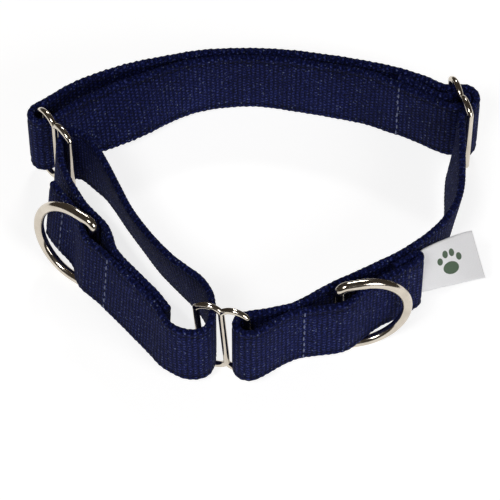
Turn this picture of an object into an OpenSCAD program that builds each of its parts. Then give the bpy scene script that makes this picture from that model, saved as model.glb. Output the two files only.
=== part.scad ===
// Martingale dog collar: a neck strap and a control loop of 1 inch webbing, joined by two
// figure-eight wire slides, with a third slide that adjusts the size, a leash ring on the
// loop, a tag ring on the neck strap, and a woven label in the hem of the strap.
// The collar lies on its edge. Z = 0 is the surface it stands on.

/* [Webbing] */
// Width of the webbing, mm
web_w = 25.4; // [25:0.1:25.6]
// Thickness of one layer of webbing, mm
web_t = 2.4; // [2.2:0.1:2.5]

/* [Slides] */
// Diameter of the slides' wire, mm
slide_wire = 2.2; // [2:0.1:2.4]
// Distance between neighbouring bars of a slide, mm
bar_pitch = 8.7; // [8.5:0.1:8.9]

/* [Rings] */
// Diameter of the D-rings' wire, mm
ring_wire = 3.4; // [3:0.1:3.5]
// Clear height inside a D-ring, mm
ring_gap = 27.6; // [27:0.1:28]
// Distance from a D-ring's bar to the far side of its arc, wire centres, mm
ring_depth = 23.2; // [22.4:0.1:23.6]

/* [Label] */
// Height of the label, mm
label_h = 17; // [14:0.5:19]
// Thickness of the label, mm
label_t = 0.5; // [0.4:0.05:0.8]

/* [Thread] */
// Thickness of a sewn stitch, mm
thread_d = 0.6; // [0.5:0.05:0.7]
// Length of a sewn stitch, mm
stitch_len = 2; // [1.6:0.1:2.2]
// Number of stitches in a row
stitches = 8; // [6:1:8]

/* [Hidden] */

navy = [0.05, 0.07, 0.24];
nickel = [0.75, 0.73, 0.68];
thread_blue = [0.42, 0.48, 0.66];
cloth_white = [0.93, 0.92, 0.92];

// Brings the middle of the collar's outline to the origin
centre = [-1.5, -5.6, 0];
// Steps that a curve takes between two route points
fine = 3;
// Height of the webbing's lower edge where it rests on a ring, which stands on the surface
lift = ring_wire + 0.8;
// Height of the middle of the webbing and of the slides there
mid_h = lift + web_w / 2;
// Height of the middle of the rings
ring_h = ring_wire + ring_gap / 2;
// Distance between the middles of two layers that lie on each other
layer_step = web_t + 0.25;
// Room between the edge of the webbing and the ends of a slide's bars
edge_room = 0.4;
// How much a slide's crowns rise above the ends of its bars
crown_rise = 2.2;
// Bend radius of a D-ring's two corners, wire centre
ring_corner = 3;

// ---- Places of the metal, in plan -------------------------------------------------------
// Each slide: [x, y, direction from its left bar to its right bar, tilt]
left_slide_at = [-65.8, 29.9, -52.5, 0];
front_slide_at = [-8.4, -48.9, -19, 4];
adjuster_at = [71.6, 42.8, -71, 0];
// Each ring: [x and y of its bar, direction from the bar to the arc, lean of the bar]
tag_ring_at = [28.6, -40.7, 11.5, 0];
leash_ring_at = [-51.9, -15.6, 143, 6];

// ---- Routes of the webbing --------------------------------------------------------------
// Each point is [x, y, drop, lean]. The drop is how far the webbing hangs below the height
// that it has in metal. A positive lean tips the top edge to the right of the way it runs.
neck_route = [
    // hem, folded under the free end
    [46.6, -28.9, 0, 0], [50.4, -26.2, 0, 0], [53.4, -23.9, 0, 0],
    [55.2, -23.8, 0, 0], [55.5, -25.4, 0, 0], [53.9, -27, 0, 0],
    // outer layer, back through the tag ring and over its bar
    [50.4, -29.5, 0, 0], [46.8, -31.7, 0, 0], [43.3, -33.7, 0, 0], [39.9, -36.2, 0, 0],
    [37, -38.9, 0, 0], [34.4, -41.5, 0, 0], [31.9, -43.7, 0, 0], [29.1, -44.9, 0, 0],
    [25.7, -45.6, 0, 0], [22, -46.1, 0, 0], [18, -46.7, 0, 0], [14.4, -47.7, 0, 0],
    [10.8, -49.6, 0, 0], [7, -52.2, 0, 0], [3.6, -54.6, 0, 0],
    // round the right bar of the front slide
    [0.4, -56.1, 0, 0], [-2.6, -55.6, 0, 0], [-4.4, -53.4, 0, 0],
    [-4.4, -50.9, 0, 0], [-2.6, -48.9, 0, 0], [0.4, -48.1, 0, 0],
    // inner layer along the front
    [5, -47.3, 0, 0], [10, -46.1, 0, 0], [14.2, -44.8, 0, 0], [18.5, -42.2, 0, 0],
    [23.4, -38.8, 0, 0], [28, -35.9, 0, 0], [33.3, -33, 0, 0], [38, -30.3, 0, 0],
    [43, -27.4, 0, 0], [48, -24.5, 0, 0], [53.2, -20.6, 0, 0], [58, -16, 0, 2],
    [62, -11, 0.1, 4], [65.2, -5.4, 0.3, 6], [67.2, 0, 0.5, 8],
    // right side, one layer
    [68.4, 6, 0.7, 9], [69, 13, 0.7, 9], [69.3, 20, 0.5, 9], [69.8, 27, 0.2, 8],
    // through the adjuster, over its middle bar
    [70.5, 31.6, 0, 5], [71.3, 35, 0, 1], [73.2, 37.3, 0, 0], [75.6, 39.6, 0, 0],
    [77, 42.4, 0, 0], [76.6, 45.6, 0, 0], [74.4, 47.8, 0, 0], [71.2, 48.3, 0, 0],
    [67.8, 48, 0, 0], [64.4, 49.2, 0, 0],
    // back, outer layer
    [60.8, 51.2, 0, 1], [57.4, 52.8, 0.2, 2], [51, 55.6, 0.5, 3], [44, 58, 0.8, 3],
    [37.2, 60, 1.2, 3], [30.4, 61.9, 1.5, 3], [23.6, 63.6, 1.9, 2], [16.8, 65.1, 2.2, 2],
    [8.4, 66.6, 2.6, 1], [0, 67.3, 2.8, 0], [-8.4, 66.8, 2.6, 1], [-14.5, 65.7, 2.1, 2],
    [-20.4, 64, 1.5, 3], [-26.8, 61.6, 0.9, 5], [-33.2, 59, 0.4, 8], [-39.7, 56.3, 0.1, 11],
    [-46.3, 53.6, 0, 12], [-53, 50.7, 0, 11], [-59.9, 47.4, 0, 8], [-65.6, 44, 0, 4],
    [-69.9, 41.5, 0, 0],
    // round the left bar of the left slide
    [-73.2, 39, 0, 0], [-74.3, 36, 0, 0], [-72.8, 33.5, 0, 0],
    [-70.4, 32.9, 0, 0], [-67.8, 34, 0, 0], [-64.8, 36, 0, 0],
    // back, inner layer
    [-60.5, 38.6, 0, -4], [-55.6, 41.1, 0, -9], [-50.4, 43.8, 0, -12],
    [-43.7, 47.4, 0.1, -13], [-36.5, 51.4, 0.4, -11], [-29, 56.2, 1.1, -7],
    [-21.7, 60.1, 1.8, -4], [-14.6, 62.5, 2.5, -2], [-8, 63.9, 3, -1], [0, 64.5, 3.3, 0],
    [8, 63.8, 3.2, -1], [16.3, 62.2, 3, -2], [23, 60.6, 2.8, -2], [29.6, 58.9, 2.4, -3],
    [36.2, 56.8, 1.8, -3], [42.2, 54, 0.8, -3], [47.6, 51, 0.5, -2], [53.6, 47.8, 0.2, 0],
    [59.4, 44.4, 0, 0], [64, 41.6, 0, 0], [68, 39.8, 0, 0],
    // sewn end, round the middle bar of the adjuster
    [71.1, 39.8, 0, 0], [73.3, 40.8, 0, 0], [74.3, 42.9, 0, 0], [73.2, 45, 0, 0],
    [70.6, 45.6, 0, 0], [67.6, 44.4, 0, 0], [64.6, 44.6, 0, 0], [61.4, 46.5, 0, 0],
    [57.6, 49.2, 0.1, 1], [54, 51.1, 0.2, 2], [50.6, 52.6, 0.5, 2]
];

loop_route = [
    // free end, outside the leash ring's tunnel
    [-66.8, 5.4, 0, -7], [-64.3, 1.2, 0, -8], [-61.3, -3, 0, -8], [-58.6, -6.7, 0, -7],
    [-56.8, -10.4, 0, -6], [-56.2, -14.2, 0, -6], [-54.7, -18, 0, -6], [-51.9, -20.9, 0, -6],
    // outer run
    [-48.4, -24.4, 0, -6], [-44.6, -28.9, 0, -6], [-40.7, -33.5, 0, -6],
    [-37.3, -37.7, 0, -6], [-33.9, -41.8, 0, -6], [-31, -45.7, 0, -5],
    [-28.5, -49.7, 0, -3], [-25.4, -53, 0, 0],
    // round the left bar of the front slide
    [-21.4, -55.2, 0, 0], [-17.4, -55.6, 0, 0], [-14.2, -54.2, 0, 0],
    [-12.6, -51.2, 0, 0], [-12.2, -47.8, 0, 0], [-12.2, -44, 0, 0],
    // inner run
    [-12.8, -39, 0, -2], [-15.4, -33, 0, -6], [-19.8, -27.8, 0, -10],
    [-24.6, -22.6, 0, -12], [-31.2, -14.2, 0, -12], [-37.4, -4.2, 0, -12],
    [-42.2, 5, 0, -9], [-45.8, 12.4, 0, -7], [-49, 18.4, 0, -5], [-52, 22.6, 0, -2],
    // round the right bar of the left slide
    [-54.6, 26, 0, 0], [-57.4, 28.4, 0, 0], [-60.5, 28.7, 0, 0], [-63, 26.4, 0, 0],
    [-64.6, 22.6, 0, -3], [-64.8, 17.6, 0, -6], [-63.8, 12, 0, -8], [-61.7, 6.6, 0, -8],
    // sewn end, inside the leash ring's tunnel
    [-58.9, 1, 0, -8], [-55.9, -4, 0, -7], [-52.1, -8.5, 0, -6], [-48.6, -12.6, 0, -5],
    [-47.1, -17, 0, -6], [-45.7, -22.2, 0, -6], [-42.5, -27.1, 0, -6],
    [-38.6, -31.8, 0, -6], [-35.2, -36, 0, -6], [-31.8, -40.1, 0, -6],
    [-28.9, -44, 0, -5], [-26.9, -46.8, 0, -4]
];

// Route of the label: [x, y, height of its lower edge, lean]
label_route = [[55.6, -24.6, 10.6, -10], [57.6, -22.9, 10.4, -18], [62, -20.2, 9.6, -24],
    [67, -17.6, 8.6, -30], [72, -14.9, 7.4, -36], [75.9, -12.9, 6.2, -40]];

// ---- Rows of stitching ------------------------------------------------------------------
// Each row: [x, y, direction of the outer face, lean, layers, drop], x and y in mid-thickness
front_end_row = [16.4, -45.3, -68, 0, 2, 0];
hem_row = [49.4, -26.8, -53, 0, 3, 0];
adjuster_end_row = [52.6, 51.3, 61, 0, 3, 0.3];
leash_rear_row = [-60.2, -1.2, 212, 8, 2, 0];
leash_front_row = [-45.5, -25.7, 218, 6, 2, 0];

// ---- Curves -----------------------------------------------------------------------------
// A smooth curve through four points, at u between the second and the third
function curve(p0, p1, p2, p3, u) =
    0.5 * (2 * p1 + (p2 - p0) * u + (2 * p0 - 5 * p1 + 4 * p2 - p3) * u * u
        + (3 * p1 - p0 - 3 * p2 + p3) * u * u * u);

function clamped(v, i) = v[max(0, min(len(v) - 1, i))];

function smooth(v) = concat(
    [for (i = [0 : len(v) - 2]) for (k = [0 : fine - 1])
        curve(clamped(v, i - 1), v[i], v[i + 1], clamped(v, i + 2), k / fine)],
    [v[len(v) - 1]]);

// Unit vector in plan to the right of the way that the points run
function right_of(v, i) =
    let (d = clamped(v, i + 1) - clamped(v, i - 1), n = norm([d[0], d[1]]))
    [d[1] / n, -d[0] / n];

// The webbing's routes with the height of the lower edge in place of the drop
function on_edge(v) = [for (p = v) [p[0], p[1], lift - p[2], p[3]]];

// The four corners of a band's section at one point
function section(p, side, w, t) =
    let (across = [side[0] * cos(p[3]), side[1] * cos(p[3]), -sin(p[3])] * t / 2,
        up = [side[0] * sin(p[3]), side[1] * sin(p[3]), cos(p[3])] * w / 2,
        mid = [p[0], p[1], p[2] + w / 2])
    [mid - up - across, mid - up + across, mid + up + across, mid + up - across];

// A band of width w and thickness t that stands on edge along a route
module band(route, w, t) {
    line = smooth(route);
    last = len(line) - 1;
    corners = [for (i = [0 : last]) each section(line[i], right_of(line, i), w, t)];
    sides = [for (i = [0 : last - 1]) for (k = [0 : 3])
        [4 * i + k, 4 * i + (k + 1) % 4, 4 * i + 4 + (k + 1) % 4, 4 * i + 4 + k]];
    ends = [[3, 2, 1, 0], [4 * last, 4 * last + 1, 4 * last + 2, 4 * last + 3]];
    polyhedron(corners, concat(sides, ends), convexity = 10);
}

// ---- Metal ------------------------------------------------------------------------------
// Part of a torus in the XZ plane, round the Y axis, from angle a0 over +X towards +Z
module wire_bend(r, d, a0, sweep) {
    rotate([90, 0, 0])
        rotate([0, 0, a0])
            rotate_extrude(angle = sweep, $fn = 64)
                translate([r, 0]) circle(d = d, $fn = 48);
}

module upright_rod(d, h) {
    cylinder(h = h, d = d, center = true, $fn = 48);
}

// A figure-eight wire slide, upright in the XZ plane, centred
module wire_slide() {
    bar_end = web_w / 2 + edge_room;
    half_window = bar_pitch / 2;
    crown_r = (half_window * half_window + crown_rise * crown_rise) / (2 * crown_rise);
    half_angle = asin(half_window / crown_r);
    for (x = [-bar_pitch, 0, bar_pitch])
        translate([x, 0, 0]) {
            upright_rod(slide_wire, 2 * bar_end);
            for (end = [-bar_end, bar_end])
                translate([0, 0, end]) sphere(d = slide_wire, $fn = 48);
        }
    for (x = [-half_window, half_window]) for (flip = [0, 1])
        mirror([0, 0, flip])
            translate([x, 0, bar_end + crown_rise - crown_r])
                wire_bend(crown_r, slide_wire, 90 - half_angle, 2 * half_angle);
}

module placed_slide(at) {
    translate([at[0], at[1], mid_h] + centre)
        rotate([0, -at[3], at[2]])
            wire_slide();
}

// A D-ring in the XZ plane, its bar on the Z axis and its arc towards +X
module d_ring() {
    half = (ring_gap + ring_wire) / 2;
    arm_end = ring_depth - half;
    upright_rod(ring_wire, 2 * (half - ring_corner));
    for (flip = [0, 1]) mirror([0, 0, flip]) {
        translate([ring_corner, 0, half - ring_corner])
            wire_bend(ring_corner, ring_wire, 90, 90);
        translate([(ring_corner + arm_end) / 2, 0, half])
            rotate([0, 90, 0]) upright_rod(ring_wire, arm_end - ring_corner);
    }
    translate([arm_end, 0, 0]) wire_bend(half, ring_wire, -90, 180);
}

module placed_ring(at) {
    translate([at[0], at[1], ring_h] + centre)
        rotate([at[3], 0, at[2]])
            d_ring();
}

// ---- Stitching --------------------------------------------------------------------------
// A row of stitches up both faces of a stack of layers
module stitch_row(row) {
    face = ((row[4] - 1) * layer_step + web_t) / 2;
    pitch = (web_w - stitch_len - 1) / (stitches - 1);
    translate([row[0], row[1], mid_h - row[5]] + centre)
        rotate([0, 0, row[2]])
            rotate([0, -row[3], 0])
                for (i = [0 : stitches - 1]) for (side = [-face, face])
                    translate([side, 0, (i - (stitches - 1) / 2) * pitch])
                        cylinder(h = stitch_len, d = thread_d, center = true, $fn = 16);
}

module neck_strap() color(navy) translate(centre) band(on_edge(neck_route), web_w, web_t);
module control_loop() color(navy) translate(centre) band(on_edge(loop_route), web_w, web_t);
module left_end_slide() color(nickel) placed_slide(left_slide_at);
module front_end_slide() color(nickel) placed_slide(front_slide_at);
module adjuster_slide() color(nickel) placed_slide(adjuster_at);
module leash_ring() color(nickel) placed_ring(leash_ring_at);
module tag_ring() color(nickel) placed_ring(tag_ring_at);
module label() color(cloth_white) translate(centre) band(label_route, label_h, label_t);
module front_end_stitches() color(thread_blue) stitch_row(front_end_row);
module hem_stitches() color(thread_blue) stitch_row(hem_row);
module adjuster_end_stitches() color(thread_blue) stitch_row(adjuster_end_row);
module leash_ring_rear_stitches() color(thread_blue) stitch_row(leash_rear_row);
module leash_ring_front_stitches() color(thread_blue) stitch_row(leash_front_row);

neck_strap();
control_loop();
left_end_slide();
front_end_slide();
adjuster_slide();
leash_ring();
tag_ring();
label();
front_end_stitches();
hem_stitches();
adjuster_end_stitches();
leash_ring_rear_stitches();
leash_ring_front_stitches();
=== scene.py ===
# The looks of a martingale dog collar: two lengths of navy webbing, a woven label and rows
# of thread take the place of the plain solids, and the wire parts get their nickel finish.
import math

import bpy
import numpy as np
from mathutils import Matrix


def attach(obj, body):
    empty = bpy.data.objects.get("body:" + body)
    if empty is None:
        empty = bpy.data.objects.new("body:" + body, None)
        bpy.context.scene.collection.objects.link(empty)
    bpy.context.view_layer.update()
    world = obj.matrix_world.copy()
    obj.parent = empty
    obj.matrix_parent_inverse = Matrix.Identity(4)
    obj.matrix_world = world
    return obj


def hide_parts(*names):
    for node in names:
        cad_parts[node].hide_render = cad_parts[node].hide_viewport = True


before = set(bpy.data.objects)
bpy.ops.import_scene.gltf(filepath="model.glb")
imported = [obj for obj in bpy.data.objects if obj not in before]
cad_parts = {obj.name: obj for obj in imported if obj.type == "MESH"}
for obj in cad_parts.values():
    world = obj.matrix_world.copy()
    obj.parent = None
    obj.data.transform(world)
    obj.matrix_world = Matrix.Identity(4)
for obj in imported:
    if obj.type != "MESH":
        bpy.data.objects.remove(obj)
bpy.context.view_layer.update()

# one millimetre, in metres
MM = 0.001

# ---- Sizes of the collar, in millimetres -----------------------------------------------
WEB_W = 25.4
WEB_T = 2.4
RING_WIRE = 3.4
# the webbing's lower edge above the floor, and its middle
LIFT = RING_WIRE + 0.8
MID_H = LIFT + WEB_W / 2
# from the middle of one sewn layer to the next
LAYER_STEP = WEB_T + 0.25
# place of the routes' origin in the collar's frame
CENTRE = (-1.5, -5.6)

# ---- Routes of the webbing: x, y, drop, lean in degrees ---------------------------------
NECK_ROUTE = [
    # hem, folded under the free end
    (46.6, -28.9, 0, 0), (50.4, -26.2, 0, 0), (53.4, -23.9, 0, 0),
    (55.2, -23.8, 0, 0), (55.5, -25.4, 0, 0), (53.9, -27, 0, 0),
    # outer layer, back through the tag ring and over its bar
    (50.4, -29.5, 0, 0), (46.8, -31.7, 0, 0), (43.3, -33.7, 0, 0), (39.9, -36.2, 0, 0),
    (37, -38.9, 0, 0), (34.4, -41.5, 0, 0), (31.9, -43.7, 0, 0), (29.1, -44.9, 0, 0),
    (25.7, -45.6, 0, 0), (22, -46.1, 0, 0), (18, -46.7, 0, 0), (14.4, -47.7, 0, 0),
    (10.8, -49.6, 0, 0), (7, -52.2, 0, 0), (3.6, -54.6, 0, 0),
    # round the right bar of the front slide
    (0.4, -56.1, 0, 0), (-2.6, -55.6, 0, 0), (-4.4, -53.4, 0, 0),
    (-4.4, -50.9, 0, 0), (-2.6, -48.9, 0, 0), (0.4, -48.1, 0, 0),
    # inner layer along the front
    (5, -47.3, 0, 0), (10, -46.1, 0, 0), (14.2, -44.8, 0, 0), (18.5, -42.2, 0, 0),
    (23.4, -38.8, 0, 0), (28, -35.9, 0, 0), (33.3, -33, 0, 0), (38, -30.3, 0, 0),
    (43, -27.4, 0, 0), (48, -24.5, 0, 0), (53.2, -20.6, 0, 0), (58, -16, 0, 2),
    (62, -11, 0.1, 4), (65.2, -5.4, 0.3, 6), (67.2, 0, 0.5, 8),
    # right side, one layer
    (68.4, 6, 0.7, 9), (69, 13, 0.7, 9), (69.3, 20, 0.5, 9), (69.8, 27, 0.2, 8),
    # through the adjuster, over its middle bar
    (70.5, 31.6, 0, 5), (71.3, 35, 0, 1), (73.2, 37.3, 0, 0), (75.6, 39.6, 0, 0),
    (77, 42.4, 0, 0), (76.6, 45.6, 0, 0), (74.4, 47.8, 0, 0), (71.2, 48.3, 0, 0),
    (67.8, 48, 0, 0), (64.4, 49.2, 0, 0),
    # back, outer layer
    (60.8, 51.2, 0, 1), (57.4, 52.8, 0.2, 2), (51, 55.6, 0.5, 3), (44, 58, 0.8, 3),
    (37.2, 60, 1.2, 3), (30.4, 61.9, 1.5, 3), (23.6, 63.6, 1.9, 2), (16.8, 65.1, 2.2, 2),
    (8.4, 66.6, 2.6, 1), (0, 67.3, 2.8, 0), (-8.4, 66.8, 2.6, 1), (-14.5, 65.7, 2.1, 2),
    (-20.4, 64, 1.5, 3), (-26.8, 61.6, 0.9, 5), (-33.2, 59, 0.4, 8), (-39.7, 56.3, 0.1, 11),
    (-46.3, 53.6, 0, 12), (-53, 50.7, 0, 11), (-59.9, 47.4, 0, 8), (-65.6, 44, 0, 4),
    (-69.9, 41.5, 0, 0),
    # round the left bar of the left slide
    (-73.2, 39, 0, 0), (-74.3, 36, 0, 0), (-72.8, 33.5, 0, 0),
    (-70.4, 32.9, 0, 0), (-67.8, 34, 0, 0), (-64.8, 36, 0, 0),
    # back, inner layer
    (-60.5, 38.6, 0, -4), (-55.6, 41.1, 0, -9), (-50.4, 43.8, 0, -12),
    (-43.7, 47.4, 0.1, -13), (-36.5, 51.4, 0.4, -11), (-29, 56.2, 1.1, -7),
    (-21.7, 60.1, 1.8, -4), (-14.6, 62.5, 2.5, -2), (-8, 63.9, 3, -1), (0, 64.5, 3.3, 0),
    (8, 63.8, 3.2, -1), (16.3, 62.2, 3, -2), (23, 60.6, 2.8, -2), (29.6, 58.9, 2.4, -3),
    (36.2, 56.8, 1.8, -3), (42.2, 54, 0.8, -3), (47.6, 51, 0.5, -2), (53.6, 47.8, 0.2, 0),
    (59.4, 44.4, 0, 0), (64, 41.6, 0, 0), (68, 39.8, 0, 0),
    # sewn end, round the middle bar of the adjuster
    (71.1, 39.8, 0, 0), (73.3, 40.8, 0, 0), (74.3, 42.9, 0, 0), (73.2, 45, 0, 0),
    (70.6, 45.6, 0, 0), (67.6, 44.4, 0, 0), (64.6, 44.6, 0, 0), (61.4, 46.5, 0, 0),
    (57.6, 49.2, 0.1, 1), (54, 51.1, 0.2, 2), (50.6, 52.6, 0.5, 2),
]

LOOP_ROUTE = [
    # free end, outside the leash ring's tunnel
    (-66.8, 5.4, 0, -7), (-64.3, 1.2, 0, -8), (-61.3, -3, 0, -8), (-58.6, -6.7, 0, -7),
    (-56.8, -10.4, 0, -6), (-56.2, -14.2, 0, -6), (-54.7, -18, 0, -6), (-51.9, -20.9, 0, -6),
    # outer run
    (-48.4, -24.4, 0, -6), (-44.6, -28.9, 0, -6), (-40.7, -33.5, 0, -6),
    (-37.3, -37.7, 0, -6), (-33.9, -41.8, 0, -6), (-31, -45.7, 0, -5),
    (-28.5, -49.7, 0, -3), (-25.4, -53, 0, 0),
    # round the left bar of the front slide
    (-21.4, -55.2, 0, 0), (-17.4, -55.6, 0, 0), (-14.2, -54.2, 0, 0),
    (-12.6, -51.2, 0, 0), (-12.2, -47.8, 0, 0), (-12.2, -44, 0, 0),
    # inner run
    (-12.8, -39, 0, -2), (-15.4, -33, 0, -6), (-19.8, -27.8, 0, -10),
    (-24.6, -22.6, 0, -12), (-31.2, -14.2, 0, -12), (-37.4, -4.2, 0, -12),
    (-42.2, 5, 0, -9), (-45.8, 12.4, 0, -7), (-49, 18.4, 0, -5), (-52, 22.6, 0, -2),
    # round the right bar of the left slide
    (-54.6, 26, 0, 0), (-57.4, 28.4, 0, 0), (-60.5, 28.7, 0, 0), (-63, 26.4, 0, 0),
    (-64.6, 22.6, 0, -3), (-64.8, 17.6, 0, -6), (-63.8, 12, 0, -8), (-61.7, 6.6, 0, -8),
    # sewn end, inside the leash ring's tunnel
    (-58.9, 1, 0, -8), (-55.9, -4, 0, -7), (-52.1, -8.5, 0, -6), (-48.6, -12.6, 0, -5),
    (-47.1, -17, 0, -6), (-45.7, -22.2, 0, -6), (-42.5, -27.1, 0, -6),
    (-38.6, -31.8, 0, -6), (-35.2, -36, 0, -6), (-31.8, -40.1, 0, -6),
    (-28.9, -44, 0, -5), (-26.9, -46.8, 0, -4),
]

# Route of the label: x, y, height of its lower edge, lean in degrees
LABEL_ROUTE = [
    (55.6, -24.6, 10.6, -10), (57.6, -22.9, 10.4, -18), (62, -20.2, 9.6, -24),
    (67, -17.6, 8.6, -30), (72, -14.9, 7.4, -36), (75.9, -12.9, 6.2, -40),
]

# Rows of stitching: the webbing each is sewn in, then its x, y, direction of the outer face,
# lean, layers and drop
STITCH_ROWS = {
    "front_end_stitches": ("neck_strap", (16.4, -45.3, -68, 0, 2, 0)),
    "hem_stitches": ("neck_strap", (49.4, -26.8, -53, 0, 3, 0)),
    "adjuster_end_stitches": ("neck_strap", (52.6, 51.3, 61, 0, 3, 0.3)),
    "leash_ring_rear_stitches": ("control_loop", (-60.2, -1.2, 212, 8, 2, 0)),
    "leash_ring_front_stitches": ("control_loop", (-45.5, -25.7, 218, 6, 2, 0)),
}
# seams sewn in navy thread, which hardly shows
HIDDEN_SEAMS = ("hem_stitches",)

METAL_NODES = ("left_end_slide", "front_end_slide", "adjuster_slide", "leash_ring", "tag_ring")

# ---- Weave of the webbing, in millimetres -----------------------------------------------
# from one rib to the next along the webbing, and how far a rib rises
RIB = 1.6
RIB_RISE = 0.13
# the share of a rib's rise that lies below the plain face
RIB_SUNK = 0.6
# from one raised dot of yarn to the next, up the webbing
DOT = 1.4
# from the middle of the webbing to the groove beside each selvedge, its spread and depth
GROOVE = 10.6
GROOVE_SPREAD = 0.7
GROOVE_DEPTH = 0.2
# height of the rounded selvedge, and how far it stands proud of the stated width
SELVEDGE = 1.15
PROUD = 0.3
# from one lobe of the rope-like selvedge to the next, its rise and its share of thickening
LOBE = 2.2
LOBE_RISE = 0.3
LOBE_THICKER = 0.12
# slow unevenness of the selvedge: radians a millimetre and start of each wave
UNEVEN_RISE = 0.06
UNEVEN_WAVES = [(0.31, 1.3), (0.83, 0.4), (1.71, 2.1)]

# ---- Label, in millimetres --------------------------------------------------------------
LABEL_H = 17.0
LABEL_T = 0.45
# its turned upper and lower edges, and the share by which they are thinner
LABEL_EDGE = 0.4
EDGE_THINNER = 0.25
# soft wave: rise at the loose end, radians over its length and radians a millimetre up it
WAVE_RISE = 0.35
WAVE_ALONG = 5.2
WAVE_UP = 0.12
# paw print, each spot's place along and up the label, half width and half height
PAW_PAD = (12.2, -2.0, 2.9, 2.3)
PAW_TOES = [(8.6, 1.2, 1.05, 1.35), (11.0, 3.3, 1.05, 1.4),
            (13.6, 3.3, 1.05, 1.4), (16.0, 1.2, 1.05, 1.35)]
# from one thread of its weave to the next
LABEL_WEAVE = 0.4

# ---- Stitches, in millimetres -----------------------------------------------------------
STITCHES = 8
STITCH_LEN = 2.05
THREAD_W = 0.54
THREAD_T = 0.44
# bare webbing beyond the first and the last stitch
STITCH_MARGIN = 0.5
# how far the middle of a stitch stands off the plain face of the webbing
SEAT = 0.06
# how far a stitch strays from its line, and radians from one stitch to the next
STRAY = 0.12
STRAY_TURN = 2.3

# ---- Steps of the cloth's meshes --------------------------------------------------------
# between stations along the webbing and along the label, in millimetres
STATION = 0.4
LABEL_STATION = 0.5
# across a face of the webbing, round a selvedge, and across a face of the label
FACE_STEPS = 16
EDGE_STEPS = 6
LABEL_STEPS = 28
# points closer than this are one point, in millimetres
WELD = 0.002

# ---- Shading of the webbing: how strongly each thing shows ------------------------------
# waver of the yarn, in radians
WAVER = 1.1
# ribs, against the dots of yarn on them
RIB_SHARE = 0.55
DOT_SHARE = 0.45
# the groove, sunk in the relief and darkened in colour as painted shade, and its spread in
# millimetres
GROOVE_SHADE = 0.4
GROOVE_SHADE_SPREAD = 0.6
# a bell curve's height at its spread, about 1 / e
BELL = 0.37
# loose fibres
FLUFF = 3.2
# relief, as painted shade in the hollows and painted highlight on the crests, and uneven dye,
# in the tone of the yarn
RELIEF_PAINTED_SHADE = 0.62
DYE_TONE = 0.3
# specks of lint: how close they lie, from a solid middle to nothing, rarity and strength
LINT_SCALE = 900.0
LINT_SIZE = (0.08, 0.3)
LINT_RARITY = 5.0
LINT_SHARE = 0.9

# ---- Colours; a tone is its place on the ramp and its colour ----------------------------
# navy yarn, from painted shade in the hollows of the weave up to painted highlight on its
# crests
NAVY_SHADE_TO_HIGHLIGHT_TONES = [(0.0, (0.0014, 0.0022, 0.01)), (0.28, (0.003, 0.005, 0.035)),
              (0.58, (0.0068, 0.011, 0.082)), (0.86, (0.038, 0.052, 0.21))]
LINT = (0.24, 0.29, 0.46)
GREY_BLUE_TONES = [(0.2, (0.05, 0.065, 0.16)), (0.8, (0.17, 0.2, 0.35))]
NAVY_THREAD_TONES = [(0.2, (0.004, 0.006, 0.03)), (0.8, (0.012, 0.017, 0.08))]
NICKEL_TONES = [(0.3, (0.56, 0.50, 0.42)), (0.7, (0.70, 0.64, 0.55))]
# roughness of the nickel where it is clear, and what a cloud adds
NICKEL_ROUGHNESS = 0.08
CLOUD_ROUGHER = 0.12
LABEL_TONES = [(0.0, (0.80, 0.80, 0.82)), (0.7, (0.93, 0.93, 0.945))]
PAW_GREEN = (0.05, 0.1, 0.05)


def deselect_all():
    bpy.ops.object.select_all(action="DESELECT")
    bpy.context.view_layer.objects.active = None


# ---- Routes and sections of the cloth ---------------------------------------------------
def smooth_route(points, steps=8):
    """Smooth curve through the route points, four numbers each."""
    v = np.array(points, float)
    ends = [v[0], *v, v[-1]]
    line = []
    for i in range(len(v) - 1):
        p0, p1, p2, p3 = ends[i:i + 4]
        for k in range(steps):
            u = k / steps
            line.append(0.5 * (2 * p1 + (p2 - p0) * u
                               + (2 * p0 - 5 * p1 + 4 * p2 - p3) * u * u
                               + (3 * p1 - p0 - 3 * p2 + p3) * u ** 3))
    line.append(v[-1])
    return np.array(line)


def even_route(points, spacing):
    """The smooth route with stations at an even spacing, and how far along each one is."""
    line = smooth_route(points)
    run = np.r_[0, np.cumsum(np.linalg.norm(np.diff(line[:, :2], axis=0), axis=1))]
    count = int(round(run[-1] / spacing)) + 1
    along = np.linspace(0, run[-1], count)
    route = np.stack([np.interp(along, run, line[:, k]) for k in range(4)], axis=1)
    return route, along


def cloth_frame(route):
    """Directions up the cloth's width and across its thickness at every station."""
    way = np.gradient(route[:, :2], axis=0)
    way /= np.linalg.norm(way, axis=1)[:, None]
    side = np.stack([way[:, 1], -way[:, 0]], axis=1)
    lean = np.radians(route[:, 3])
    up = np.stack([side[:, 0] * np.sin(lean), side[:, 1] * np.sin(lean), np.cos(lean)], 1)
    across = np.stack([side[:, 0] * np.cos(lean), side[:, 1] * np.cos(lean), -np.sin(lean)], 1)
    return up, across


def web_section():
    """Section of the webbing: places across and up, and how much each is selvedge."""
    half_t = WEB_T / 2
    flat = WEB_W / 2 + PROUD - SELVEDGE
    heights = np.linspace(-flat, flat, FACE_STEPS + 1)
    right = [(half_t, h, 0.0) for h in heights]
    left = [(-half_t, h, 0.0) for h in heights[::-1]]
    rounds = [(math.cos(a), math.sin(a))
              for a in (math.pi * k / EDGE_STEPS for k in range(1, EDGE_STEPS))]
    top = [(half_t * c, flat + SELVEDGE * s, s) for c, s in rounds]
    low = [(-half_t * c, -flat - SELVEDGE * s, s) for c, s in rounds]
    ring = right + top + left + low
    return np.array(ring + ring[:1])


def label_section():
    """Section of the label: a plain thin strip, none of it selvedge."""
    half_t = LABEL_T / 2
    heights = np.linspace(-LABEL_H / 2, LABEL_H / 2, LABEL_STEPS + 1)
    ring = [(half_t, h, 0.0) for h in heights] + [(-half_t, h, 0.0) for h in heights[::-1]]
    return np.array(ring + ring[:1])


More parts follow.
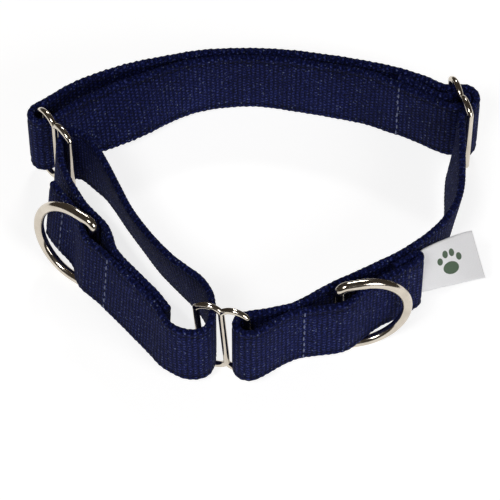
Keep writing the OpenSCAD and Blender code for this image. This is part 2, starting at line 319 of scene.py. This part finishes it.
# ---- Bands of cloth ---------------------------------------------------------------------
def flat_grid(name, route, section):
    """A flat grid to roll into a band, and each point's place round the section and station."""
    deselect_all()
    bpy.ops.mesh.primitive_grid_add(x_subdivisions=len(section) - 1,
                                    y_subdivisions=len(route) - 1, size=1, calc_uvs=True)
    band = bpy.context.object
    band.name = band.data.name = name
    mesh = band.data
    flat = np.empty(len(mesh.vertices) * 3)
    mesh.vertices.foreach_get("co", flat)
    flat = flat.reshape(-1, 3)
    i = np.rint((flat[:, 0] + 0.5) * (len(section) - 1)).astype(int)
    j = np.rint((flat[:, 1] + 0.5) * (len(route) - 1)).astype(int)
    return band, i, j


def close_band(band):
    """Welds the seam that runs along the band, and fills its two open ends."""
    bpy.context.view_layer.objects.active = band
    band.select_set(True)
    bpy.ops.object.mode_set(mode="EDIT")
    bpy.ops.mesh.select_all(action="SELECT")
    bpy.ops.mesh.remove_doubles(threshold=WELD * MM)
    bpy.ops.mesh.select_all(action="DESELECT")
    bpy.ops.mesh.select_non_manifold(extend=False, use_wire=False, use_boundary=True,
                                     use_multi_face=False, use_non_contiguous=False,
                                     use_verts=False)
    bpy.ops.mesh.edge_face_add()
    bpy.ops.mesh.select_all(action="SELECT")
    bpy.ops.mesh.normals_make_consistent(inside=False)
    bpy.ops.object.mode_set(mode="OBJECT")


def finish_band(band, place, section, along, material):
    """Gives the flat grid its shape, a map in metres along and up, and its cloth."""
    mesh = band.data
    mesh.vertices.foreach_set("co", place.ravel())
    uv = mesh.uv_layers[0].data
    flat = np.empty(len(uv) * 2)
    uv.foreach_get("uv", flat)
    flat = flat.reshape(-1, 2)
    around = np.rint(flat[:, 0] * (len(section) - 1)).astype(int)
    station = np.rint(flat[:, 1] * (len(along) - 1)).astype(int)
    uv.foreach_set("uv", (np.stack([along[station], section[around, 1]], axis=1) * MM).ravel())
    mesh.update()
    close_band(band)
    # the faces along the band are smooth, and its cut ends stay flat
    for poly in mesh.polygons:
        poly.use_smooth = len(poly.vertices) < 5
    mesh.materials.append(material)
    return band


def make_webbing(name, points, material):
    """Webbing with ribs across it and a rope-like selvedge, on edge along a route."""
    route, along = even_route(points, STATION)
    up, across = cloth_frame(route)
    section = web_section()
    band, i, j = flat_grid(name, route, section)
    t, h, rim = section[i, 0], section[i, 1], section[i, 2]
    side = np.sign(np.where(np.abs(t) < 1e-6, 1.0, t))
    # face: ribs across the webbing, with a groove beside each selvedge
    rib = np.abs(np.sin(math.pi * along[j] / RIB))
    swell = RIB_RISE * (rib - RIB_SUNK) * (1 - rim)
    groove = GROOVE_DEPTH * np.exp(-((np.abs(h) - GROOVE) / GROOVE_SPREAD) ** 2) * (1 - rim)
    # selvedge: lobes that alternate from face to face
    twist = 2 * math.pi * along[j] / LOBE
    lobe = LOBE_RISE * np.cos(twist + 0.5 * math.pi * side) * rim
    uneven = UNEVEN_RISE * sum(np.sin(along[j] * rate + start) for rate, start in UNEVEN_WAVES)
    thick = t * (1 + LOBE_THICKER * np.cos(twist) * rim) + side * (swell - groove)
    height = h + np.sign(h) * (lobe + uneven) * rim
    middle = np.stack([route[j, 0] + CENTRE[0], route[j, 1] + CENTRE[1],
                       MID_H - route[j, 2]], axis=1)
    place = (middle + across[j] * thick[:, None] + up[j] * height[:, None]) * MM
    return finish_band(band, place, section, along, material)


def make_label(name, points, material):
    """The woven label: a thin sheet that stands out from the hem."""
    route, along = even_route(points, LABEL_STATION)
    up, across = cloth_frame(route)
    section = label_section()
    band, i, j = flat_grid(name, route, section)
    t, h = section[i, 0], section[i, 1]
    # a soft wave in the cloth, which grows towards its loose end
    share = along[j] / along[-1]
    wave = WAVE_RISE * np.sin(share * WAVE_ALONG + h * WAVE_UP) * share
    thin = 1 - EDGE_THINNER * (np.abs(h) > LABEL_H / 2 - LABEL_EDGE)
    middle = np.stack([route[j, 0] + CENTRE[0], route[j, 1] + CENTRE[1],
                       route[j, 2] + LABEL_H / 2], axis=1)
    place = (middle + across[j] * (t * thin + wave)[:, None] + up[j] * h[:, None]) * MM
    return finish_band(band, place, section, along, material)


# ---- Stitches ---------------------------------------------------------------------------
def make_one_stitch():
    """One lockstitch, upright: a strand of thread that bulges in the middle."""
    deselect_all()
    bpy.ops.mesh.primitive_uv_sphere_add(segments=10, ring_count=7, radius=0.5)
    stitch = bpy.context.object
    bpy.ops.object.mode_set(mode="EDIT")
    bpy.ops.mesh.select_all(action="SELECT")
    bpy.ops.transform.resize(value=(THREAD_W * MM, THREAD_T * MM, STITCH_LEN * MM))
    bpy.ops.object.mode_set(mode="OBJECT")
    bpy.ops.object.shade_smooth()
    return stitch


def faces_of_stack(row, points):
    """How far a row's stitches lie from its middle, on the two faces of the sewn stack."""
    x, y, facing, _, layers, _ = row
    route = even_route(points, STATION)[0]
    facing = math.radians(facing)
    east, north = route[:, 0] - x, route[:, 1] - y
    out = east * math.cos(facing) + north * math.sin(facing)
    aside = north * math.cos(facing) - east * math.sin(facing)
    stack = out[(np.abs(aside) < STATION) & (np.abs(out) < layers * LAYER_STEP)]
    return (stack.min() - WEB_T / 2 - SEAT, stack.max() + WEB_T / 2 + SEAT)


def make_stitches(name, row, points, stitch, material):
    """A row of lockstitches up both faces of a stack of webbing."""
    x, y, facing, lean, _, drop = row
    faces = faces_of_stack(row, points)
    pitch = (WEB_W - STITCH_LEN - 2 * STITCH_MARGIN) / (STITCHES - 1)
    facing, lean = math.radians(facing), math.radians(lean)
    out = np.array([math.cos(facing) * math.cos(lean), math.sin(facing) * math.cos(lean),
                    math.sin(lean)])
    up = np.array([-math.cos(facing) * math.sin(lean), -math.sin(facing) * math.sin(lean),
                   math.cos(lean)])
    along = np.cross(out, up)
    turn = Matrix(np.array([along, out, up]).T.tolist()).to_4x4()
    middle = np.array([x + CENTRE[0], y + CENTRE[1], MID_H - drop])
    deselect_all()
    for k in range(STITCHES):
        for side, face in zip((-1, 1), faces):
            stray = STRAY * math.sin(k * STRAY_TURN + side)
            at = middle + out * face + up * (k - (STITCHES - 1) / 2) * pitch + along * stray
            placed = stitch.copy()
            placed.data = stitch.data.copy()
            placed.data.transform(Matrix.Translation(at * MM) @ turn)
            bpy.context.collection.objects.link(placed)
            placed.select_set(True)
            bpy.context.view_layer.objects.active = placed
    bpy.ops.object.join()
    thread = bpy.context.object
    thread.name = thread.data.name = name
    thread.data.materials.clear()
    thread.data.materials.append(material)
    return thread


# ---- Nodes that the materials are made of -----------------------------------------------
def new_material(name, **settings):
    """A material, its node tree and its shader; a setting's name is a socket's, with _."""
    material = bpy.data.materials.new(name)
    material.use_nodes = True
    shader = material.node_tree.nodes["Principled BSDF"]
    for socket, value in settings.items():
        shader.inputs[socket.replace("_", " ")].default_value = value
    return material, material.node_tree, shader


def add(tree, kind, **sockets):
    """A node of one kind, with the values of its named input sockets."""
    node = tree.nodes.new(kind)
    for socket, value in sockets.items():
        node.inputs[socket].default_value = value
    return node


def maths(tree, operation, *values):
    """One step of arithmetic: each value is a number or another node's output."""
    node = tree.nodes.new("ShaderNodeMath")
    node.operation = operation
    for k, value in enumerate(values):
        if isinstance(value, (int, float)):
            node.inputs[k].default_value = value
        else:
            tree.links.new(value, node.inputs[k])
    return node.outputs[0]


def plus(tree, a, b):
    return maths(tree, "ADD", a, b)


def minus(tree, a, b):
    return maths(tree, "SUBTRACT", a, b)


def times(tree, a, b):
    return maths(tree, "MULTIPLY", a, b)


def over(tree, a, b):
    return maths(tree, "DIVIDE", a, b)


def own_place(tree):
    """Places on the piece, in metres."""
    return add(tree, "ShaderNodeTexCoord").outputs["Object"]


def cloth_map(tree):
    """Places on the cloth, in metres: how far along it, and how far up from its middle."""
    split = add(tree, "ShaderNodeSeparateXYZ")
    tree.links.new(add(tree, "ShaderNodeUVMap").outputs[0], split.inputs[0])
    return split.outputs[0], split.outputs[1]


def noise(tree, place, scale, detail):
    """Soft random clouds, from 0 to 1."""
    clouds = add(tree, "ShaderNodeTexNoise", Scale=scale, Detail=detail)
    tree.links.new(place, clouds.inputs["Vector"])
    return clouds.outputs["Fac"]


def ramp(tree, factor, stops):
    """The colour that the factor picks between the stops."""
    node = tree.nodes.new("ShaderNodeValToRGB")
    band = node.color_ramp
    while len(band.elements) < len(stops):
        band.elements.new(0.5)
    for element, (place, colour) in zip(band.elements, stops):
        element.position = place
        element.color = (*colour, 1)
    tree.links.new(factor, node.inputs[0])
    return node.outputs[0]


def spotted(tree, factor, ground, spots):
    """The ground's colour, and the spots' plain colour where the factor is 1."""
    mix = add(tree, "ShaderNodeMix")
    mix.data_type = "RGBA"
    # several sockets share these names, and these are the ones that hold colours
    ground_in, spots_in, colour_out = mix.inputs[6], mix.inputs[7], mix.outputs[2]
    tree.links.new(factor, mix.inputs[0])
    tree.links.new(ground, ground_in)
    spots_in.default_value = (*spots, 1)
    return colour_out


def relief(tree, shader, height, strength, depth):
    """Fine relief of the surface, with its depth in millimetres."""
    bump = add(tree, "ShaderNodeBump", Strength=strength, Distance=depth * MM)
    tree.links.new(height, bump.inputs["Height"])
    tree.links.new(bump.outputs[0], shader.inputs["Normal"])


# ---- Materials --------------------------------------------------------------------------
def lint_specks(tree, place):
    """Scattered specks of lint, few of them bright."""
    lint = add(tree, "ShaderNodeTexVoronoi", Scale=LINT_SCALE)
    tree.links.new(place, lint.inputs["Vector"])
    solid, nothing = LINT_SIZE
    speck = ramp(tree, lint.outputs["Distance"], [(solid, (1, 1, 1)), (nothing, (0, 0, 0))])
    shade = add(tree, "ShaderNodeSeparateColor")
    tree.links.new(lint.outputs["Color"], shade.inputs[0])
    return times(tree, speck, maths(tree, "POWER", shade.outputs[0], LINT_RARITY))


def webbing_material():
    """Navy ribbed webbing: dots of yarn in staggered columns, grooves, fluff and lint, with
    painted shade in hollows and painted highlight on crests.
    """
    material, tree, shader = new_material(
        "navy_webbing", Roughness=0.75, Sheen_Weight=0.03, Sheen_Roughness=0.4,
        Sheen_Tint=(0.35, 0.4, 0.9, 1), Specular_IOR_Level=0.06)
    along, up = cloth_map(tree)
    place = own_place(tree)
    # ribs and the dots of yarn on them, each nudged a little out of line
    nudge = times(tree, minus(tree, noise(tree, place, scale=330.0, detail=2.0), 0.5), WAVER)
    rib = maths(tree, "SINE", plus(tree, times(tree, along, math.pi / (RIB * MM)), nudge))
    yarn = maths(tree, "COSINE", plus(tree, times(tree, up, 2 * math.pi / (DOT * MM)), nudge))
    column = maths(tree, "ABSOLUTE", rib)
    dot = times(tree, times(tree, times(tree, column, column), rib), yarn)
    cell = plus(tree, times(tree, column, RIB_SHARE), times(tree, dot, DOT_SHARE))
    # the groove beside each selvedge fades out as a bell curve; it sinks the relief and is
    # painted shade in the tone
    off = minus(tree, maths(tree, "ABSOLUTE", up), GROOVE * MM)
    off = over(tree, off, GROOVE_SHADE_SPREAD * MM)
    groove = maths(tree, "POWER", BELL, times(tree, off, off))
    fibre = minus(tree, noise(tree, place, scale=2000.0, detail=3.0), 0.5)
    height = minus(tree, cell, times(tree, groove, GROOVE_SHADE))
    height = plus(tree, height, times(tree, fibre, FLUFF))
    relief(tree, shader, height, strength=0.85, depth=0.4)
    # crests are painted lighter and hollows darker, as painted highlight and painted shade, and
    # the dye is a little uneven
    dye = noise(tree, place, scale=45.0, detail=3.0)
    tone = plus(tree, times(tree, height, RELIEF_PAINTED_SHADE), times(tree, dye, DYE_TONE))
    speck = times(tree, lint_specks(tree, place), LINT_SHARE)
    colour = spotted(tree, speck, ramp(tree, tone, NAVY_SHADE_TO_HIGHLIGHT_TONES), LINT)
    tree.links.new(colour, shader.inputs["Base Color"])
    return material


def thread_material(name, tones):
    """Twisted sewing thread."""
    material, tree, shader = new_material(name, Roughness=0.6, Sheen_Weight=0.1)
    ply = add(tree, "ShaderNodeTexWave", Scale=900.0, Distortion=2.0)
    tree.links.new(own_place(tree), ply.inputs["Vector"])
    tree.links.new(ramp(tree, ply.outputs["Fac"], tones), shader.inputs["Base Color"])
    relief(tree, shader, ply.outputs["Fac"], strength=0.5, depth=0.1)
    return material


def nickel_material():
    """Polished nickel, a little cloudy and finely scratched."""
    material, tree, shader = new_material("polished_nickel", Metallic=1.0)
    place = own_place(tree)
    cloud = noise(tree, place, scale=180.0, detail=4.0)
    tree.links.new(ramp(tree, cloud, NICKEL_TONES), shader.inputs["Base Color"])
    roughness = plus(tree, times(tree, cloud, CLOUD_ROUGHER), NICKEL_ROUGHNESS)
    tree.links.new(roughness, shader.inputs["Roughness"])
    scratches = noise(tree, place, scale=2400.0, detail=2.0)
    relief(tree, shader, scratches, strength=0.12, depth=0.05)
    return material


def label_material():
    """Fine woven white cloth with a plain green paw print."""
    material, tree, shader = new_material("white_label_cloth", Roughness=0.55,
                                          Sheen_Weight=0.3)
    along, up = cloth_map(tree)
    turn = 2 * math.pi / (LABEL_WEAVE * MM)
    warp = maths(tree, "SINE", times(tree, along, turn))
    weft = maths(tree, "SINE", times(tree, up, turn))
    weave = times(tree, warp, weft)
    relief(tree, shader, weave, strength=0.5, depth=0.08)

    def spot(middle_along, middle_up, half_w, half_h):
        dx = over(tree, minus(tree, along, middle_along * MM), half_w * MM)
        dy = over(tree, minus(tree, up, middle_up * MM), half_h * MM)
        far = plus(tree, times(tree, dx, dx), times(tree, dy, dy))
        return maths(tree, "LESS_THAN", far, 1.0)

    paw = spot(*PAW_PAD)
    for toe in PAW_TOES:
        paw = maths(tree, "MAXIMUM", paw, spot(*toe))
    colour = spotted(tree, paw, ramp(tree, weave, LABEL_TONES), PAW_GREEN)
    tree.links.new(colour, shader.inputs["Base Color"])
    return material


webbing = webbing_material()
grey_blue_thread = thread_material("grey_blue_thread", GREY_BLUE_TONES)
navy_thread = thread_material("navy_thread", NAVY_THREAD_TONES)
nickel = nickel_material()
label_cloth = label_material()

# ---- Pieces of the collar ---------------------------------------------------------------
neck = make_webbing("neck_webbing", NECK_ROUTE, webbing)
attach(neck, "neck_strap")
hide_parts("neck_strap")

loop = make_webbing("loop_webbing", LOOP_ROUTE, webbing)
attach(loop, "control_loop")
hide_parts("control_loop")

label = make_label("label_cloth", LABEL_ROUTE, label_cloth)
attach(label, "neck_strap")
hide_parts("label")

stitch = make_one_stitch()
for node, (body, row) in STITCH_ROWS.items():
    thread = navy_thread if node in HIDDEN_SEAMS else grey_blue_thread
    points = NECK_ROUTE if body == "neck_strap" else LOOP_ROUTE
    seam = make_stitches(node + "_thread", row, points, stitch, thread)
    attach(seam, body)
    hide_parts(node)
bpy.data.objects.remove(stitch)

for node in METAL_NODES:
    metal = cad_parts[node]
    metal.data.materials.clear()
    metal.data.materials.append(nickel)

# ---- Floor ------------------------------------------------------------------------------
FLOOR_SIZE = 6.0
# a hair below the collar, so that no two surfaces share a plane
FLOOR_Z = -0.0002

deselect_all()
bpy.ops.mesh.primitive_plane_add(size=FLOOR_SIZE, location=(0, 0, FLOOR_Z))
floor = bpy.context.object
floor.name = "studio_floor"
paper, *_ = new_material("white_paper", Base_Color=(0.4, 0.4, 0.4, 1), Roughness=0.9,
                         Emission_Color=(1, 1, 1, 1), Emission_Strength=0.8)
floor.data.materials.append(paper)

# ---- Lights: place, width and height in metres, power in watts --------------------------
SOFTBOXES = {
    "key_light": ((-0.35, -0.75, 1.0), (0.35, 0.35), 5.5),
    "fill_light": ((0.75, -0.8, 0.6), (0.5, 0.5), 5.5),
    "back_light": ((0.1, 0.9, 0.9), (0.3, 0.14), 3.0),
}
ROOM_GLOW = (0.05, 0.042, 0.035, 1)


def softbox(name, place, size, power):
    """A rectangular light that faces the collar."""
    light = bpy.data.lights.new(name, "AREA")
    light.shape = "RECTANGLE"
    light.size, light.size_y = size
    light.energy = power
    lamp = bpy.data.objects.new(name, light)
    bpy.context.scene.collection.objects.link(lamp)
    way = -np.array(place)
    lamp.location = place
    lamp.rotation_euler = (math.acos(-way[2] / np.linalg.norm(way)), 0,
                           math.atan2(way[1], way[0]) - math.pi / 2)


for name, (place, size, power) in SOFTBOXES.items():
    softbox(name, place, size, power)

world = bpy.data.worlds.new("studio")
world.use_nodes = True
bpy.context.scene.world = world
background = world.node_tree.nodes["Background"]
background.inputs["Color"].default_value = ROOM_GLOW
background.inputs["Strength"].default_value = 1.0

bpy.context.scene.view_settings.view_transform = "Standard"

# ---- Camera -----------------------------------------------------------------------------
ELEVATION = math.radians(52)
# from the camera to the point it looks at, in metres
DISTANCE = 1.0
# its focal length and the width of its sensor, in millimetres
FOCAL_LENGTH = 212.76
SENSOR_W = 36
AIM = (CENTRE[0] * MM, CENTRE[1] * MM, 0.5 * MM)

lens = bpy.data.cameras.new("camera")
lens.sensor_width = SENSOR_W
lens.lens = FOCAL_LENGTH
lens.clip_start = 0.05
camera = bpy.data.objects.new("camera", lens)
bpy.context.scene.collection.objects.link(camera)
camera.location = (AIM[0], AIM[1] - DISTANCE * math.cos(ELEVATION),
                   AIM[2] + DISTANCE * math.sin(ELEVATION))
camera.rotation_euler = (math.pi / 2 - ELEVATION, 0, 0)
bpy.context.scene.camera = camera
